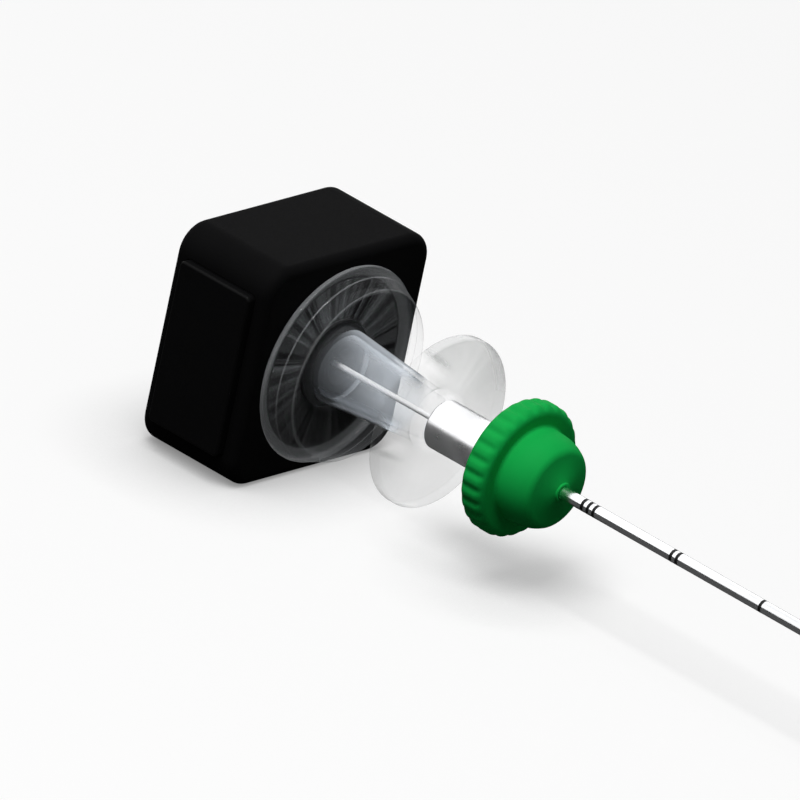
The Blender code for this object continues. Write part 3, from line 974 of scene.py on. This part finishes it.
def studio_floor():
    """Pale floor that shows white and keeps the shadow, with a painted contact shadow that deepens it close to
    the object.
    """
    half = floor_size / 2
    height = edge("handle_shell", LOW, "z")
    bm = flat_sheet((u * half, v * half, height) for u, v in ((-1, -1), (1, -1), (1, 1), (-1, 1)))
    material, tree, surface = stage_material("floor_white")
    # Ambient occlusion darkens the floor near the object: painted contact shadow
    open_sky = add_node(tree, "AmbientOcclusion", {"Distance": contact_reach * MM},
                        samples=contact_samples).outputs["AO"]
    painted_contact_shade = product(tree, maths(tree, "SUBTRACT", 1.0, open_sky), painted_contact_shadow_depth)
    level = maths(tree, "SUBTRACT", 1.0, painted_contact_shade)
    glow = add_node(tree, "Emission", {"Strength": product(tree, level, floor_glow)})
    shade = add_node(tree, "BsdfDiffuse", {"Color": tint(tree, level, ((0, 0, 0), (floor_shade,) * 3))})
    bounce = add_node(tree, "BsdfDiffuse", {"Color": grey(floor_bounce)})
    white = add_node(tree, "AddShader", {0: glow.outputs[0], 1: shade.outputs[0]})
    mixed = add_node(tree, "MixShader", {0: light_paths(tree), 1: bounce.outputs[0], 2: white.outputs[0]})
    tree.links.new(mixed.outputs[0], surface)
    add_object("studio_floor", bm, material)


def reflected_only(name, bm, material):
    """A stage piece that only reflections see."""
    card = add_object(name, bm, material)
    card.visible_camera = False
    card.visible_diffuse = False
    card.visible_shadow = False
    card.visible_transmission = False


def dark_tray():
    """Dark tray round the object, seen only in reflections: a painted dark reflection on the lower side of
    polished metal.
    """
    height = edge("handle_shell", LOW, "z") + tray_lift
    rise = tray_radius * math.tan(math.radians(tray_slope))
    bm = bmesh.new()
    rings = []
    for radius, lift in ((tray_hole, 0.0), (tray_radius, 0.0), (tray_radius + tray_rim, rise)):
        ring = []
        for step in range(SMALL):
            angle = 2 * math.pi * step / SMALL
            ring.append(bm.verts.new((radius * math.cos(angle), radius * math.sin(angle), height + lift)))
        rings.append(ring)
    for inner, outer in zip(rings, rings[1:]):
        for step in range(SMALL):
            after = (step + 1) % SMALL
            bm.faces.new((inner[step], inner[after], outer[after], outer[step]))
    material, tree, surface = stage_material("tray_dark")
    tree.links.new(add_node(tree, "BsdfDiffuse", {"Color": grey(tray_level)}).outputs[0], surface)
    reflected_only("dark_tray", bm, material)


def white_card():
    """Glowing card behind the handle, seen only in reflections: a painted bright reflection along the upper
    side of polished metal.
    """
    half = card_size / 2
    bm = flat_sheet((-card_distance, y, z) for y, z in
                    ((-half, card_bottom), (half, card_bottom), (half, half), (-half, half)))
    material, tree, surface = stage_material("card_white")
    tree.links.new(add_node(tree, "Emission", {"Strength": card_level}).outputs[0], surface)
    reflected_only("white_card", bm, material)


def surroundings():
    """White surroundings to look at, and a soft even sky for the light."""
    world = bpy.data.worlds.new("studio")
    bpy.context.scene.world = world
    world.use_nodes = True
    tree = world.node_tree
    sky = tree.nodes["Background"]
    sky.inputs["Strength"].default_value = sky_level
    sky.inputs["Color"].default_value = grey(1.0)
    backdrop = add_node(tree, "Background", {"Color": grey(1.0), "Strength": backdrop_level})
    mixed = add_node(tree, "MixShader", {0: light_paths(tree), 1: sky.outputs[0], 2: backdrop.outputs[0]})
    tree.links.new(mixed.outputs[0], tree.nodes["World Output"].inputs["Surface"])


def key_lamp():
    """One large soft lamp above the needle."""
    lamp = bpy.data.lights.new("key_lamp", "AREA")
    lamp.size = key_size * MM
    lamp.energy = key_level * (math.pi * key_distance * MM) ** 2
    key = bpy.data.objects.new("key_lamp", lamp)
    direction = Vector(key_direction).normalized()
    key.location = direction * key_distance * MM
    key.rotation_mode = "QUATERNION"
    key.rotation_quaternion = direction.to_track_quat("Z", "Y")
    key.visible_camera = False
    bpy.context.scene.collection.objects.link(key)


def photo_camera():
    """The photograph's camera, with its roll."""
    azimuth, elevation, roll = (math.radians(angle) for angle in (view_azimuth, view_elevation, view_roll))
    level = Vector((math.cos(azimuth), math.sin(azimuth), 0))
    back = Vector((math.sin(azimuth) * math.cos(elevation), -math.cos(azimuth) * math.cos(elevation),
                   math.sin(elevation)))
    upright = back.cross(level)
    right = math.cos(roll) * level + math.sin(roll) * upright
    up = back.cross(right)
    data = bpy.data.cameras.new("photo_camera")
    data.lens = lens_length
    data.sensor_width = sensor_width
    data.clip_start, data.clip_end = clip_range
    camera = bpy.data.objects.new("photo_camera", data)
    distance = lens_length / sensor_width * view_width * MM
    turn = Matrix((right, up, back)).transposed().to_4x4()
    camera.matrix_world = Matrix.Translation(Vector(view_target) * MM + back * distance) @ turn
    bpy.context.scene.collection.objects.link(camera)
    bpy.context.scene.camera = camera


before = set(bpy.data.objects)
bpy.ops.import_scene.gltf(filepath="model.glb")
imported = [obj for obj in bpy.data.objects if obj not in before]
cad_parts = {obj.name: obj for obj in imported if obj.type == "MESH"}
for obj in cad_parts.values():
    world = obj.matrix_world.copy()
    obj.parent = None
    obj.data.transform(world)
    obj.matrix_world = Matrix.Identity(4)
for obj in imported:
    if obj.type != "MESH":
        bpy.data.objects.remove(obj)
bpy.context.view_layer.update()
front = edge("seat_washer", LOW)

photo_camera()
handle_shell(moulded_black("handle_black", black_tones, grain_scale=9.0, roughness=0.62, shine=0.01))
grip_pads(moulded_black("pad_black", pad_tones, grain_scale=7.0, roughness=0.45, shine=0.05))
handle_cover(moulded_black("cover_black", black_tones, grain_scale=12.0, roughness=0.45, shine=0.12))
seat_washer(moulded_black("washer_black", rubber_tones, grain_scale=12.0, roughness=0.70, shine=0.01))
clear_pieces(clear_flange("clear_streaked"), clear_hub("clear_milky"))
drawn_steel = steel("drawn_steel", drawn_tones, roughness=0.16, line_scale=9.0)
barrel(steel("polished_steel", polished_tones, roughness=0.30, line_scale=5.0))
cannula(drawn_steel)
ring_marks(moulded_black("ring_ink", ink_tones, grain_scale=14.0, roughness=0.50, shine=0.20))
stylet_rod(steel("bright_steel", bright_tones, roughness=0.30, line_scale=9.0, metallic=0.0))
stop_knob(green_plastic("green_satin"))
stop_retainer(drawn_steel)
inner_pieces(plain_finish("white_nylon", nylon_tones, roughness=0.45),
             plain_finish("turned_brass", brass_tones, roughness=0.25, metallic=1.0))
studio_floor()
dark_tray()
white_card()
surroundings()
key_lamp()

scene = bpy.context.scene
scene.view_settings.view_transform = "Standard"
scene.cycles.transparent_max_bounces = clear_layers
